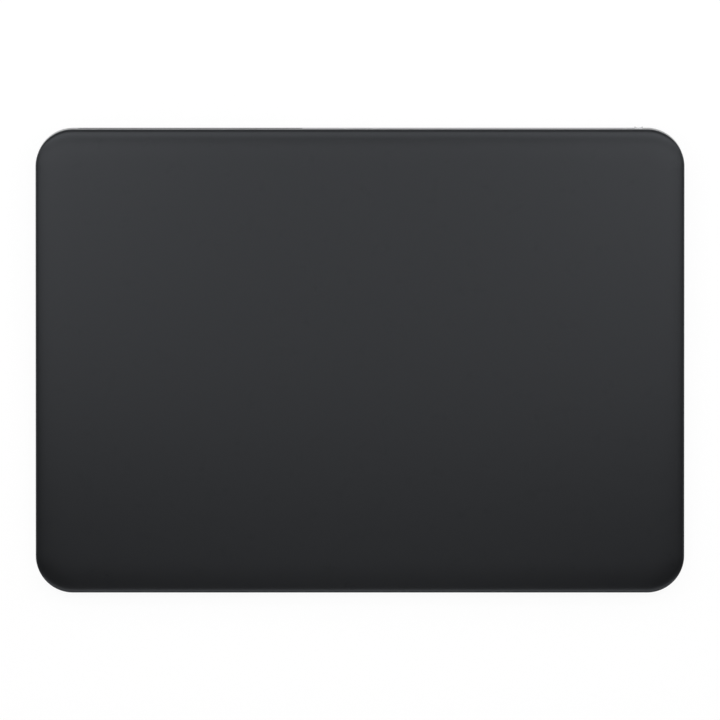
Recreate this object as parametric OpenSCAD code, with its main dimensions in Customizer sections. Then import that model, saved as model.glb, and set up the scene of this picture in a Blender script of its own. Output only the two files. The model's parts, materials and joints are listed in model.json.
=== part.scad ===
/* [Overall size] */
// Width of the pad
pad_w = 160; // [150:1:180]
// Depth of the pad seen from above, with the foot of the leaning back wall
pad_d = 114.8; // [108:0.1:130]
// Height of the glass at the front edge
front_h = 4.9; // [4.7:0.1:6]
// Height of the glass at the back edge
back_h = 10.9; // [10.4:0.1:13]
// Radius of the corners seen from above
corner_r = 9.2; // [8:0.1:11]

/* [Cover glass] */
// Thickness of the glass
glass_t = 1.1; // [0.9:0.05:1.3]
// Radius of the rolled-off upper edge
glass_edge_r = 0.8; // [0.4:0.05:0.8]
// Radius of the broken lower edge
glass_low_r = 0.15; // [0.05:0.01:0.3]

/* [Motion] */
// How far a finger presses the touch plate down
press_travel = 0.25; // [0.1:0.01:0.3]
// How far the haptic actuator shifts the touch plate to each side
haptic_travel = 0.15; // [0.05:0.01:0.25]
// Room that is left past the end of a motion
motion_clear = 0.1; // [0.05:0.01:0.2]

/* [Housing] */
// Thickness of the upright walls
wall_t = 1.6; // [1.3:0.1:2]
// Thickness of the floor over the base plate
floor_t = 0.8; // [0.7:0.05:1]
// Chamfer round the lower rim
rim_chamfer = 0.5; // [0.2:0.1:0.7]

/* [Base plate and feet] */
// Thickness of the base plate
base_t = 0.6; // [0.4:0.05:0.8]
// Distance from the side of the pad to the base plate's recess
base_margin = 6; // [5:0.5:9]
// Corner radius of the base plate
base_r = 5; // [3:0.5:8]
// Gap round the base plate
base_clear = 0.15; // [0.1:0.05:0.3]
// Thickness of every adhesive layer
tape_t = 0.1; // [0.05:0.01:0.15]
// Width of the adhesive's bare border round the base plate
tape_border = 3; // [1:0.5:6]
// Diameter of a foot
foot_d = 9; // [6:0.5:12]
// Height of a foot below the base plate
foot_h = 0.6; // [0.4:0.05:0.8]
// Depth of the seat that holds a foot
foot_sink = 0.25; // [0.1:0.05:0.35]
// Radius of a foot's lower edge
foot_edge_r = 0.3; // [0.1:0.05:0.4]
// Distance from the sides of the pad to a foot's centre
foot_inset = 15; // [13:0.5:25]

/* [Touch plate] */
// Thickness of the bonding film under the glass
film_t = 0.1; // [0.05:0.01:0.15]
// Thickness of the sensor board
sensor_t = 0.5; // [0.4:0.05:0.6]
// Thickness of the steel stiffener
stiffener_t = 0.3; // [0.2:0.05:0.4]
// How far the stiffener stays inside the sensor board's edge
stiffener_inset = 1.5; // [1:0.1:3]
// Gap between the sensor board and the housing wall past the haptic shift
plate_clear = 0.5; // [0.3:0.05:1]
// Side of a touch chip
chip_w = 8; // [5:0.5:10]
// Height of a touch chip
chip_h = 0.8; // [0.5:0.05:1]
// Distance of the touch chips from the middle
chip_x = 59; // [56:0.5:62]
// Room round the chips and leads in the stiffener's windows
window_clear = 1; // [0.5:0.1:2]

/* [Flexures] */
// Length of a flexure blade
blade_l = 24; // [20:0.5:25]
// Width of a flexure blade
blade_w = 9; // [8:0.5:11]
// Thickness of a flexure blade
blade_t = 0.4; // [0.3:0.05:0.5]
// Width of a blade at its waist
blade_waist = 5; // [4:0.25:6]
// Length of the root that is screwed down
root_l = 6; // [5:0.5:7]
// Gap between a root and the side wall
root_gap = 3.4; // [3:0.1:5]
// Distance from the glass's front edge to the front flexures
flexure_front = 18; // [16:0.5:22]
// Distance from the glass's back edge to the back flexures
flexure_back = 24; // [21:0.5:30]
// Distance between the two screws of a root
root_pitch = 5.2; // [4.8:0.1:6]
// Diameter of a gel pad
gel_d = 6; // [4:0.25:7]
// Thickness of a gel pad
gel_t = 0.6; // [0.55:0.05:0.75]
// Distance from a blade's tip to its gel pad
gel_inset = 0.8; // [0.3:0.1:2]
// Length of a strain gauge
gauge_l = 4; // [3:0.25:5]
// Width of a strain gauge
gauge_w = 3.6; // [2.5:0.1:4]
// Thickness of a strain gauge
gauge_t = 0.08; // [0.05:0.01:0.12]
// Width of a gauge lead
lead_w = 1.8; // [1:0.1:2]

/* [Screws and leads] */
// Diameter of the screws
screw_d = 1.4; // [1.2:0.1:1.6]
// Diameter of a screw head
screw_head_d = 2.4; // [2:0.1:2.5]
// Height of a screw head
screw_head_h = 0.45; // [0.3:0.05:0.5]
// Depth that a screw goes into its boss
screw_grip = 0.9; // [0.6:0.05:1]
// Gap round a screw in the piece that it holds
screw_clear = 0.1; // [0.05:0.01:0.15]
// Gap round a screw in its thread
thread_clear = 0.02; // [0.01:0.01:0.04]
// Diameter of a round boss
boss_d = 3.6; // [3:0.1:4]
// Thickness of a flexible lead
flex_t = 0.15; // [0.1:0.01:0.18]

/* [Haptic actuator] */
// Depth of the actuator's bracket
haptic_d = 26; // [24:0.5:30]
// Thickness of the bracket
bracket_t = 0.3; // [0.2:0.05:0.4]
// Length of a bracket ear
ear_l = 6; // [5:0.5:9]
// Height of a bracket ear above the floor
ear_rise = 0.5; // [0.4:0.05:0.6]
// Gap between the actuator and the battery
haptic_gap = 5; // [4:0.5:8]
// Width of the core's spine
spine_w = 6; // [4:0.5:8]
// Length of a core tooth
tooth_l = 12; // [9:0.5:15]
// Width of a core tooth
tooth_w = 3.6; // [2.5:0.1:4.5]
// Distance from tooth to tooth
tooth_pitch = 8; // [7.6:0.1:8.4]
// Thickness of a coil beside its tooth
coil_side = 1.5; // [1:0.1:1.6]
// Thickness of a coil above and below its tooth
coil_cap = 0.35; // [0.25:0.05:0.45]
// Gap between a coil and its tooth
coil_clear = 0.05; // [0.02:0.01:0.08]
// Gap at both ends of a coil
coil_end = 1; // [0.6:0.1:2]
// Thickness of an armature's web
web_t = 1.4; // [1:0.1:2]
// Width of an armature's flange
flange_w = 6; // [4:0.5:8]
// Thickness of an armature's flange
flange_t = 0.4; // [0.3:0.05:0.5]
// Width of the actuator's flexible lead
haptic_lead_w = 3; // [2:0.25:4]

/* [Battery] */
// Width of the cell
battery_w = 92; // [80:1:94]
// Depth of the cell
battery_d = 38; // [34:0.5:42]
// Room above the cell for swelling
battery_swell = 0.4; // [0.2:0.05:0.6]
// Radius of the cell's edges
battery_edge_r = 0.7; // [0.4:0.05:0.9]
// Corner radius of the cell
battery_r = 2; // [1.5:0.25:4]
// Width of an adhesive strip
strip_w = 14; // [8:0.5:20]
// Width of the protection circuit
circuit_w = 40; // [30:1:50]
// Depth of the protection circuit
circuit_d = 3; // [2.5:0.1:3.5]
// Thickness of the protection circuit
circuit_t = 0.8; // [0.6:0.05:1]
// Gap between the protection circuit and the logic board
circuit_gap = 2.2; // [2:0.1:4]
// Width of the battery lead
battery_lead_w = 7; // [5:0.5:9]
// Place of the battery lead to the right of the middle
battery_lead_x = 14; // [12:0.5:15]

/* [Logic board] */
// Width of the logic board
board_w = 76; // [74:0.5:78]
// Place of the logic board's middle to the right of the pad's middle
board_x = 20; // [19:0.25:21]
// Depth of the logic board
board_d = 9.4; // [9:0.1:10]
// Thickness of the logic board
board_t = 0.8; // [0.6:0.05:1]
// Height of the logic board above the floor
board_stand = 0.5; // [0.4:0.05:0.8]
// Gap between the logic board and the back wall
board_gap = 0.6; // [0.4:0.05:1]
// Least gap between the logic board and the switch board
board_switch_gap = 2.5; // [2:0.1:3]
// Distance from the board's edges to its screws
board_screw_inset = 2.2; // [2:0.1:2.6]
// Length of the shield
shield_w = 15; // [12:0.5:16]
// Depth of the shield
shield_d = 5; // [4:0.1:5.4]
// Height of the shield
shield_h = 1.3; // [1:0.1:2]
// Wall of the shield
shield_t = 0.2; // [0.15:0.05:0.3]
// Place of the shield to the right of the middle
shield_x = 15; // [14.5:0.25:15.5]
// Side of the controller chip
controller_w = 5; // [4:0.25:5.5]
// Side of a power chip
power_chip_w = 2.4; // [2:0.1:2.6]
// Height of the chips on the logic board
board_chip_h = 0.8; // [0.5:0.05:1]
// Gap between a chip and its neighbour
chip_gap = 1; // [0.6:0.1:1.4]
// Depth of a connector
connector_d = 2; // [1.6:0.1:2.4]
// Height of a connector
connector_h = 0.9; // [0.7:0.05:1.2]
// Width of the sensor board's flexible lead
touch_lead_w = 12; // [8:0.5:14]
// Place of the sensor board's lead to the right of the middle
touch_lead_x = 37; // [36:0.25:38]
// Length of the sensor board's lead along the sensor board
touch_lead_l = 5; // [3:0.25:6]

/* [Charging socket] */
// Width of the mouth
mouth_w = 8.34; // [6:0.01:9]
// Height of the mouth
mouth_h = 2.56; // [2.3:0.01:3]
// Wall of the shell
shell_t = 0.3; // [0.2:0.05:0.4]
// Length of the shell
shell_l = 7.4; // [6.5:0.1:8]
// Depth of the mouth behind the back wall's face
socket_recess = 0.2; // [0.1:0.05:0.4]
// Gap between the shell and the hole in the wall
socket_clear = 0.1; // [0.05:0.01:0.2]
// Width of the tongue
tongue_w = 6.69; // [5.9:0.01:6.9]
// Thickness of the tongue
tongue_t = 0.7; // [0.5:0.05:0.8]
// Length of the tongue
tongue_l = 5.2; // [4:0.1:6]
// Contacts on each side of the tongue
contact_count = 12; // [8:1:12]
// Distance from contact to contact
contact_pitch = 0.5; // [0.4:0.01:0.5]
// Distance from the tongue's ends to a contact
contact_inset = 0.5; // [0.2:0.1:1]
// Width of a contact
contact_w = 0.25; // [0.15:0.01:0.3]
// Thickness of a contact
contact_t = 0.06; // [0.03:0.01:0.1]

/* [Power switch] */
// Width of the knob
knob_w = 2.1; // [1.8:0.05:2.6]
// Height of the knob
knob_h = 1.5; // [1.2:0.05:1.6]
// How far the knob stands out of the wall
knob_proud = 0.45; // [0.2:0.05:0.6]
// Radius of the knob's finger dish
dish_r = 1.5; // [1.2:0.1:3]
// Depth of the knob's finger dish
dish_depth = 0.25; // [0.1:0.05:0.3]
// Travel of the switch
switch_travel = 2.5; // [1.5:0.1:2.8]
// Gap round the knob in its slot
slot_clear = 0.1; // [0.05:0.01:0.15]
// Distance from the start of the corner to the slot
switch_edge = 0.9; // [0.6:0.1:2]
// Thickness of the knob's carriage
carriage_t = 0.5; // [0.4:0.05:0.6]
// How far the carriage covers the wall past the slot
carriage_lap = 0.6; // [0.4:0.05:0.7]
// Depth of the pocket that the carriage slides in
pocket_depth = 0.5; // [0.4:0.05:0.6]
// Gap round the carriage in its pocket
slide_clear = 0.1; // [0.07:0.01:0.15]
// Thickness of the indicator film
indicator_t = 0.04; // [0.02:0.01:0.05]
// Width of the switch lever
lever_w = 1; // [0.6:0.1:1.4]
// Length of the switch lever
lever_l = 1; // [0.8:0.1:1.3]
// Width of the switch body
switch_w = 6.4; // [6:0.1:7]
// Depth of the switch body
switch_d = 2.6; // [2:0.1:3]
// Height of the switch body
switch_h = 2.4; // [2:0.1:2.6]
// Wall of the switch body
switch_t = 0.3; // [0.2:0.05:0.4]
// Width of the switch board
switch_board_w = 11; // [10:0.25:11.5]
// Depth of the switch board
switch_board_d = 6; // [5.6:0.1:7]
// Thickness of the switch board
switch_board_t = 0.6; // [0.5:0.05:0.7]
// Width of the switch lead
switch_lead_w = 2; // [1.5:0.1:2.4]

/* [Antenna] */
// Width of the antenna window
window_w = 55.7; // [50:0.1:57]
// Height of the antenna window
window_h = 3; // [2.4:0.1:3.6]
// Height of the window's middle above the desk
window_z = 4.4; // [4:0.1:5]
// Distance from the start of the corner to the window
window_edge = 1.05; // [0.9:0.05:3]
// How far the window's hidden flange reaches past the window
window_lap = 0.7; // [0.4:0.05:0.8]
// Thickness of the window's hidden flange
window_flange_t = 0.5; // [0.3:0.05:0.7]
// Gap round the window in the wall
seat_clear = 0.04; // [0.02:0.01:0.08]
// Distance of the antenna's ends from the window's ends
antenna_inset = 6; // [5:0.5:9]
// Depth of the antenna carrier
antenna_d = 2.6; // [2:0.1:3]
// Height of the antenna carrier
antenna_h = 4; // [3:0.1:4.5]
// Gap between the antenna and the window
antenna_gap = 0.2; // [0.15:0.01:0.3]
// Thickness of the antenna foil
foil_t = 0.1; // [0.05:0.01:0.12]
// Diameter of the antenna lead
antenna_lead_d = 0.8; // [0.6:0.05:1]

/* [Hidden] */
$fn = 64;

// A cut runs this far past the face that it opens
over = 1;
// Big enough to reach past the whole pad
far = 2 * (pad_w + pad_d);

// The slope of the glass: the back wall is square to it, so its foot lies behind its top edge
rise = back_h - front_h;
lean_h = back_h - foot_h;
slope = (pad_d - sqrt(pad_d * pad_d - 4 * lean_h * rise)) / (2 * lean_h);
tilt = atan(slope);
glass_plan = pad_d - lean_h * slope;
glass_d = glass_plan / cos(tilt);
mid_y = (glass_plan - pad_d) / 2;
mid_z = (front_h + back_h) / 2;

// Levels above the desk
base_z = foot_h;
recess_z = base_z + base_t + tape_t;
floor_z = recess_z + floor_t;

// Depths below the glass's top face, square to it
film_depth = glass_t + film_t;
sensor_depth = film_depth + sensor_t;
stack_depth = sensor_depth + stiffener_t;
blade_depth = stack_depth + gel_t;
seat_depth = blade_depth + blade_t;
rim_depth = glass_t + press_travel + motion_clear;

// World height of the plane that lies depth below the glass's top, at world y
function plane_z(y, depth) = mid_z + (y - mid_y) * slope - depth / cos(tilt);
// World y of the plane that lies inset inside the back wall's face, at world height z
function back_y(z, inset) = mid_y + (glass_d / 2 - inset - (z - mid_z) * sin(tilt)) / cos(tilt);
// Slope frame's z of the point at world height z on the plane ys in the slope frame
function slope_z(z, ys) = (z - mid_z - ys * sin(tilt)) / cos(tilt);

// Touch plate
sensor_margin = wall_t + haptic_travel + plate_clear;
sensor_w = pad_w - 2 * sensor_margin;
sensor_d = glass_d - 2 * sensor_margin;
sensor_r = corner_r - sensor_margin;

// Flexures, with the root at the side wall and the tip toward the middle
root_x = pad_w / 2 - wall_t - root_gap;
root_screw_x = root_x - root_l / 2;
tip_x = root_x - blade_l;
gel_x = tip_x + gel_inset + gel_d / 2;
waist_x = (gel_x + gel_d / 2 + root_x - root_l) / 2;
flexure_y = [glass_d / 2 - flexure_back, flexure_front - glass_d / 2];

// Power switch along the back wall
slot_w = knob_w + switch_travel + 2 * slot_clear;
slot_right = pad_w / 2 - corner_r - switch_edge;
slot_x = slot_right - slot_w / 2;
knob_x = slot_right - slot_clear - knob_w / 2;
switch_board_x = knob_x - switch_travel / 2;
switch_board_left = switch_board_x - switch_board_w / 2;

// Logic board, protection circuit, battery and actuator follow each other from the back wall forward
board_z = floor_z + board_stand;
board_top = board_z + board_t;
shell_h = mouth_h + 2 * shell_t;
shell_w = mouth_w + 2 * shell_t;
port_z = board_top + shell_h / 2;
board_back = back_y(board_top, wall_t) - board_gap;
board_front = board_back - board_d;
board_left = board_x - board_w / 2;
board_right = min(board_x + board_w / 2, switch_board_left - board_switch_gap);
board_screw_x = [board_left + board_screw_inset, shield_x + shield_w / 2 + boss_d,
                 board_right - board_screw_inset];
board_screw_y = board_front + board_screw_inset;
circuit_back = board_front - circuit_gap;
battery_back = circuit_back - circuit_d;
battery_front = battery_back - battery_d;
battery_z = floor_z + tape_t;
battery_t = plane_z(battery_front, stack_depth) - press_travel - motion_clear - battery_swell - battery_z;
circuit_z = battery_z + (battery_t - circuit_t) / 2;
haptic_back = battery_front - haptic_gap;
haptic_front = haptic_back - haptic_d;
haptic_y = (haptic_back + haptic_front) / 2;
coil_z = floor_z + bracket_t;
coil_h = plane_z(haptic_front, stack_depth) - press_travel - motion_clear - coil_z;
tooth_z = coil_z + coil_cap + coil_clear;
tooth_h = coil_h - 2 * (coil_cap + coil_clear);
tooth_end = spine_w / 2 + tooth_l;
web_x = tooth_end + haptic_travel + motion_clear;
bracket_w = 2 * (web_x + web_t + haptic_travel + motion_clear + bracket_t);
ear_x = bracket_w / 2 + ear_l / 2;
ear_y = (haptic_d - boss_d) / 2;

// Sensor board's lead: the radius of its bend brings it from its connector's top to the sensor board,
// where each end of the bend sits in the middle of an end pad twice as thick
touch_bend_y = board_front + connector_d;
touch_low_z = board_top + connector_h + flex_t / 2;
touch_rise = (touch_bend_y - mid_y) * sin(tilt) + (mid_z - touch_low_z) * cos(tilt)
             - sensor_depth - flex_t / 2;
touch_bend_r = touch_rise / (1 + cos(tilt));
touch_top_y = (touch_bend_y - mid_y) * cos(tilt) + (touch_low_z + touch_bend_r - mid_z) * sin(tilt);

// Power switch, in the slope frame
slot_h = knob_h + 2 * slot_clear;
switch_z = slope_z(port_z, glass_d / 2);
pocket_y = glass_d / 2 - wall_t + pocket_depth;
carriage_left = slot_right - slot_w - carriage_lap;
carriage_right = slot_right + switch_travel + carriage_lap;
carriage_h = slot_h + 2 * carriage_lap;
carriage_y = pocket_y - slide_clear - carriage_t;
prong_l = lever_l;
switch_front = carriage_y - prong_l - slide_clear;
switch_board_z = switch_z - switch_h / 2 - switch_board_t;
switch_screw_x = (switch_board_w - boss_d) / 2;
switch_screw_y = switch_front - (switch_d + switch_board_d) / 2;

// Antenna window, in the slope frame
window_left = corner_r + window_edge - pad_w / 2;
window_x = window_left + window_w / 2;
window_sz = slope_z(window_z, glass_d / 2);
antenna_w = window_w - 2 * antenna_inset;
antenna_y = glass_d / 2 - wall_t - antenna_gap;

// Puts children in the slope frame: the origin in the middle of the glass's top face, y up the slope
// toward the back, z square out of the glass
module on_slope() {
    translate([0, mid_y, mid_z]) rotate([tilt, 0, 0]) children();
}

// Turns an outline so that its x stays x, its y points up, and its extrusion runs toward the back
module upright() {
    rotate([-90, 0, 0]) mirror([0, 1, 0]) children();
}

// Everything above a level of the desk
module above(z) {
    translate([-far / 2, -far / 2, z]) cube([far, far, far]);
}

// Rectangle with round corners
module round_rect(w, d, r) {
    square([w - 2 * r, d], center = true);
    square([w, d - 2 * r], center = true);
    for (sx = [-1, 1], sy = [-1, 1]) translate([sx * (w / 2 - r), sy * (d / 2 - r)]) circle(r);
}

// Slot with half-round ends
module stadium(w, h) {
    square([w - h, h], center = true);
    for (s = [-1, 1]) translate([s * (w - h) / 2, 0]) circle(d = h);
}

// Quarter of a disc, to the right and up
module quarter_disc(r) {
    intersection() {
        circle(r);
        square(r);
    }
}

// Runs a profile round a rectangle with round corners: the profile's x starts at the corner's centre
module rim_sweep(w, d, r) {
    for (s = [-1, 1]) {
        translate([s * (w / 2 - r), 0, 0]) rotate([0, 0, 90 - s * 90]) rotate([90, 0, 0])
            linear_extrude(d - 2 * r, center = true) children();
        translate([0, s * (d / 2 - r), 0]) rotate([0, 0, s * 90]) rotate([90, 0, 0])
            linear_extrude(w - 2 * r, center = true) children();
    }
    for (sx = [-1, 1], sy = [-1, 1]) translate([sx * (w / 2 - r), sy * (d / 2 - r), 0])
        rotate([0, 0, sx > 0 ? (sy > 0 ? 0 : -90) : (sy > 0 ? 90 : 180)])
            rotate_extrude(angle = 90) children();
}

// Plate with round corners whose upper and lower edges are rounded too
module slab(w, d, r, t, top_r, low_r) {
    translate([0, 0, t / 2]) cube([w - 2 * r, d - 2 * r, t], center = true);
    rim_sweep(w, d, r) {
        square([r - low_r, t - top_r]);
        translate([0, low_r]) square([r, t - top_r - low_r]);
        translate([0, low_r]) square([r - top_r, t - low_r]);
        translate([r - top_r, t - top_r]) quarter_disc(top_r);
        translate([r - low_r, low_r]) mirror([0, 1]) quarter_disc(low_r);
    }
}

// Screw with its head's seat at z = 0 and its shank below, and a cross in the head
module screw(length) {
    cross_w = screw_head_d / 6;
    cross_l = screw_head_d * 2 / 3;
    difference() {
        union() {
            cylinder(d = screw_head_d, h = screw_head_h);
            translate([0, 0, -length]) cylinder(d = screw_d, h = length + screw_head_h / 2);
        }
        for (a = [0, 90]) rotate([0, 0, a]) translate([-cross_l / 2, -cross_w / 2, screw_head_h / 2])
            cube([cross_l, cross_w, over]);
    }
}

// Hole for a screw through a plate of thickness t whose lower face is at z = 0
module screw_hole(t) {
    translate([0, 0, -over]) cylinder(d = screw_d + 2 * screw_clear, h = t + 2 * over);
}

// Bore for a screw's thread, from its boss's top down
module thread_bore() {
    translate([0, 0, -screw_grip]) cylinder(d = screw_d + 2 * thread_clear, h = screw_grip + over);
}

// Places children at the two screws of every flexure root, on its seat
module at_root_screws() {
    for (sx = [-1, 1], y = flexure_y, s = [-1, 1]) on_slope()
        translate([sx * root_screw_x, y + s * root_pitch / 2, -seat_depth]) children();
}

// Places children at the bracket's four screws, on the bosses' tops
module at_haptic_screws() {
    for (sx = [-1, 1], sy = [-1, 1])
        translate([sx * ear_x, haptic_y + sy * ear_y, floor_z + ear_rise]) children();
}

// Places children at the logic board's screws, on the bosses' tops
module at_board_screws() {
    for (x = board_screw_x) translate([x, board_screw_y, board_z]) children();
}

// Places children at the switch board's screws, on the bosses' tops
module at_switch_screws() {
    for (s = [-1, 1]) on_slope()
        translate([switch_board_x + s * switch_screw_x, switch_screw_y, switch_board_z]) children();
}

// Prism under the glass's outline, drawn in by inset, from the rim down past the base and cut at level z
module case_prism(inset, z, up) {
    intersection() {
        on_slope() translate([0, 0, -rim_depth - 2 * back_h]) linear_extrude(2 * back_h + up)
            round_rect(pad_w - 2 * inset, glass_d - 2 * inset, corner_r - inset);
        above(z);
    }
}

// Pillar in the slope frame from a boss's top down into the floor
module pillar(ys, zs) {
    drop = zs - slope_z(floor_z - floor_t / 2, ys);
    translate([0, 0, -drop]) linear_extrude(drop) children();
}

// Round boss that stands h above the floor, with its top at z = 0
module floor_boss(h) {
    translate([0, 0, -h - floor_t / 2]) cylinder(d = boss_d, h = h + floor_t / 2);
}

module bosses() {
    for (sx = [-1, 1], y = flexure_y) on_slope() translate([sx * root_screw_x, y, -seat_depth])
        pillar(y, -seat_depth) square([root_l, blade_w], center = true);
    at_switch_screws() pillar(switch_screw_y, switch_board_z) circle(d = boss_d);
    at_board_screws() floor_boss(board_stand);
    at_haptic_screws() floor_boss(ear_rise);
}

// The bevel turns its corners a little wider than the walls do, so that their seams stay apart
module rim_bevel() {
    bevel_r = corner_r + rim_chamfer / 4;
    translate([0, back_y(base_z, 0) - glass_d / cos(tilt) / 2, base_z])
        rim_sweep(pad_w, glass_d / cos(tilt), bevel_r)
            polygon([[bevel_r - rim_chamfer - over, -over], [bevel_r + over, -over],
                     [bevel_r + over, rim_chamfer + over]]);
}

module socket_hole() {
    translate([0, back_y(port_z, wall_t) - over, port_z]) upright() linear_extrude(wall_t + 2 * over)
        stadium(shell_w + 2 * socket_clear, shell_h + 2 * socket_clear);
}

module switch_cut() {
    on_slope() translate([slot_x, pocket_y - over, switch_z]) upright() linear_extrude(wall_t + 2 * over)
        stadium(slot_w, slot_h);
    pocket_left = carriage_left - switch_travel - slide_clear;
    pocket_right = carriage_right + slide_clear;
    pocket_h = carriage_h + 2 * slide_clear;
    on_slope() translate([pocket_left, carriage_y - over, switch_z - pocket_h / 2])
        cube([pocket_right - pocket_left, pocket_y - carriage_y + over, pocket_h]);
}

// The window's outline through the wall, and its wider seat on the inside
module window_shape(gap) {
    seat_y = glass_d / 2 - wall_t;
    on_slope() {
        translate([window_x, seat_y, window_sz]) upright() linear_extrude(wall_t + (gap > 0 ? over : 0))
            stadium(window_w + 2 * gap, window_h + 2 * gap);
        translate([window_x, seat_y - (gap > 0 ? over : 0), window_sz]) upright()
            linear_extrude(window_flange_t + (gap > 0 ? over + gap : 0))
                stadium(window_w + 2 * (window_lap + gap), window_h + 2 * (window_lap + gap));
    }
}

module housing() {
    color("#b9bcc0") difference() {
        union() {
            difference() {
                case_prism(0, base_z, 0);
                case_prism(wall_t, floor_z, over);
            }
            bosses();
        }
        translate([0, 0, base_z - over]) linear_extrude(base_t + tape_t + over)
            round_rect(pad_w - 2 * base_margin, pad_d - 2 * base_margin, base_r);
        rim_bevel();
        socket_hole();
        switch_cut();
        window_shape(seat_clear);
        at_root_screws() thread_bore();
        at_haptic_screws() thread_bore();
        at_board_screws() thread_bore();
        at_switch_screws() thread_bore();
    }
}

module antenna_window() {
    color("#55575b") window_shape(0);
}

module at_feet() {
    for (sx = [-1, 1], sy = [-1, 1])
        translate([sx * (pad_w / 2 - foot_inset), sy * (pad_d / 2 - foot_inset), 0]) children();
}

module base_plate() {
    plate_margin = base_margin + base_clear;
    color("#8e9094") difference() {
        translate([0, 0, base_z]) linear_extrude(base_t)
            round_rect(pad_w - 2 * plate_margin, pad_d - 2 * plate_margin, base_r - base_clear);
        at_feet() translate([0, 0, base_z - over])
            cylinder(d = foot_d + 2 * base_clear, h = foot_sink + over);
    }
}

module base_adhesive() {
    sheet_margin = base_margin + tape_border;
    color("#d8d4c4") translate([0, 0, base_z + base_t]) linear_extrude(tape_t)
        square([pad_w - 2 * sheet_margin, pad_d - 2 * sheet_margin], center = true);
}

module feet() {
    foot_r = foot_d / 2;
    color("#3a3b3d") at_feet() rotate_extrude() {
        translate([0, foot_edge_r]) square([foot_r, foot_h + foot_sink - foot_edge_r]);
        square([foot_r - foot_edge_r, foot_h]);
        translate([foot_r - foot_edge_r, foot_edge_r]) circle(foot_edge_r);
    }
}

module cover_glass() {
    color("#36373a") on_slope() translate([0, 0, -glass_t])
        slab(pad_w, glass_d, corner_r, glass_t, glass_edge_r, glass_low_r);
}

module bonding_film() {
    color("#e8e6da") on_slope() translate([0, 0, -film_depth]) linear_extrude(film_t)
        round_rect(sensor_w, sensor_d, sensor_r);
}

module sensor_board() {
    color("#1f4a33") on_slope() translate([0, 0, -sensor_depth]) linear_extrude(sensor_t)
        round_rect(sensor_w, sensor_d, sensor_r);
}

module touch_chips() {
    color("#2a2a2c") on_slope() for (s = [-1, 1]) translate([s * chip_x, 0, -sensor_depth - chip_h / 2])
        cube([chip_w, chip_w, chip_h], center = true);
}

module stiffener() {
    relief_l = root_l + root_gap + over;
    relief_w = blade_w + 2 * window_clear;
    color("#a9adb2") on_slope() translate([0, 0, -stack_depth]) linear_extrude(stiffener_t) difference() {
        round_rect(sensor_w - 2 * stiffener_inset, sensor_d - 2 * stiffener_inset,
                   sensor_r - stiffener_inset);
        for (s = [-1, 1]) translate([s * chip_x, 0])
            square(chip_w + 2 * window_clear, center = true);
        for (s = [-1, 1], y = flexure_y)
            translate([s * (root_x - root_l + relief_l / 2 - window_clear), y])
                square([relief_l, relief_w], center = true);
        translate([touch_lead_x - touch_lead_w / 2 - window_clear,
                   touch_top_y - touch_lead_l - window_clear])
            square([touch_lead_w + 2 * window_clear, far]);
    }
}

// An armature hangs from the stiffener outside the teeth: s is its side
module armature(s) {
    web_low = coil_z + press_travel + 2 * motion_clear;
    web_drop = -stack_depth - slope_z(web_low, (haptic_front - mid_y) / cos(tilt));
    arm_y = (haptic_y - mid_y) / cos(tilt);
    color("#7d8186") on_slope() mirror([s < 0 ? 1 : 0, 0, 0])
        translate([web_x, arm_y - haptic_d / 2, -stack_depth]) {
            translate([0, 0, -web_drop]) cube([web_t, haptic_d, web_drop]);
            translate([0, 0, -flange_t]) cube([flange_w, haptic_d, flange_t]);
        }
}

module armature_left() {
    armature(-1);
}

module armature_right() {
    armature(1);
}

module gel_pads() {
    color("#c9cfd6") for (sx = [-1, 1], y = flexure_y) on_slope() translate([sx * gel_x, y, -blade_depth])
        cylinder(d = gel_d, h = gel_t);
}

// Leaf blade with a waist that bends: sx is its side and y its place up the slope
module flexure(sx, y) {
    notch = (blade_w - blade_waist) / 2;
    color("#9da2a8") on_slope() translate([0, y, -seat_depth]) mirror([sx < 0 ? 1 : 0, 0, 0])
        difference() {
            linear_extrude(blade_t) difference() {
                translate([tip_x, -blade_w / 2]) square([blade_l, blade_w]);
                for (s = [-1, 1]) translate([waist_x, s * blade_w / 2]) circle(notch);
            }
            for (s = [-1, 1]) translate([root_screw_x, s * root_pitch / 2, 0]) screw_hole(blade_t);
        }
}

module flexure_front_left() {
    flexure(-1, flexure_y[1]);
}

module flexure_front_right() {
    flexure(1, flexure_y[1]);
}

module flexure_back_left() {
    flexure(-1, flexure_y[0]);
}

module flexure_back_right() {
    flexure(1, flexure_y[0]);
}

module strain_gauges() {
    color("#c98a3a") for (sx = [-1, 1], y = flexure_y) on_slope()
        translate([sx * waist_x, y, -blade_depth + gauge_t / 2])
            cube([gauge_l, gauge_w, gauge_t], center = true);
}

// Each side's lead runs on the floor beside the roots, rises to every blade and ends under the
// logic board
module gauge_leads() {
    run_x = root_x + flex_t / 2;
    run_y = board_screw_y - boss_d / 2 - motion_clear - lead_w;
    low_y = mid_y + flexure_y[1] - lead_w / 2;
    gauge_end = waist_x + gauge_l / 2;
    color("#b8762c") for (sx = [-1, 1]) mirror([sx < 0 ? 1 : 0, 0, 0]) {
        board_end = (sx < 0 ? -board_left : board_right) - lead_w;
        translate([run_x, low_y, floor_z]) cube([lead_w, run_y + lead_w - low_y, flex_t]);
        translate([board_end, run_y, floor_z]) cube([run_x + lead_w - board_end, lead_w, flex_t]);
        for (y = flexure_y) intersection() {
            on_slope() translate([0, y - lead_w / 2, -blade_depth]) {
                translate([gauge_end, 0, 0]) cube([root_x + flex_t - gauge_end, lead_w, flex_t]);
                translate([root_x, 0, -2 * back_h]) cube([flex_t, lead_w, 2 * back_h + flex_t]);
            }
            above(floor_z + flex_t / 2);
        }
    }
}

module flexure_screws() {
    color("#6e7277") at_root_screws() translate([0, 0, blade_t]) screw(blade_t + screw_grip);
}

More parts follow.
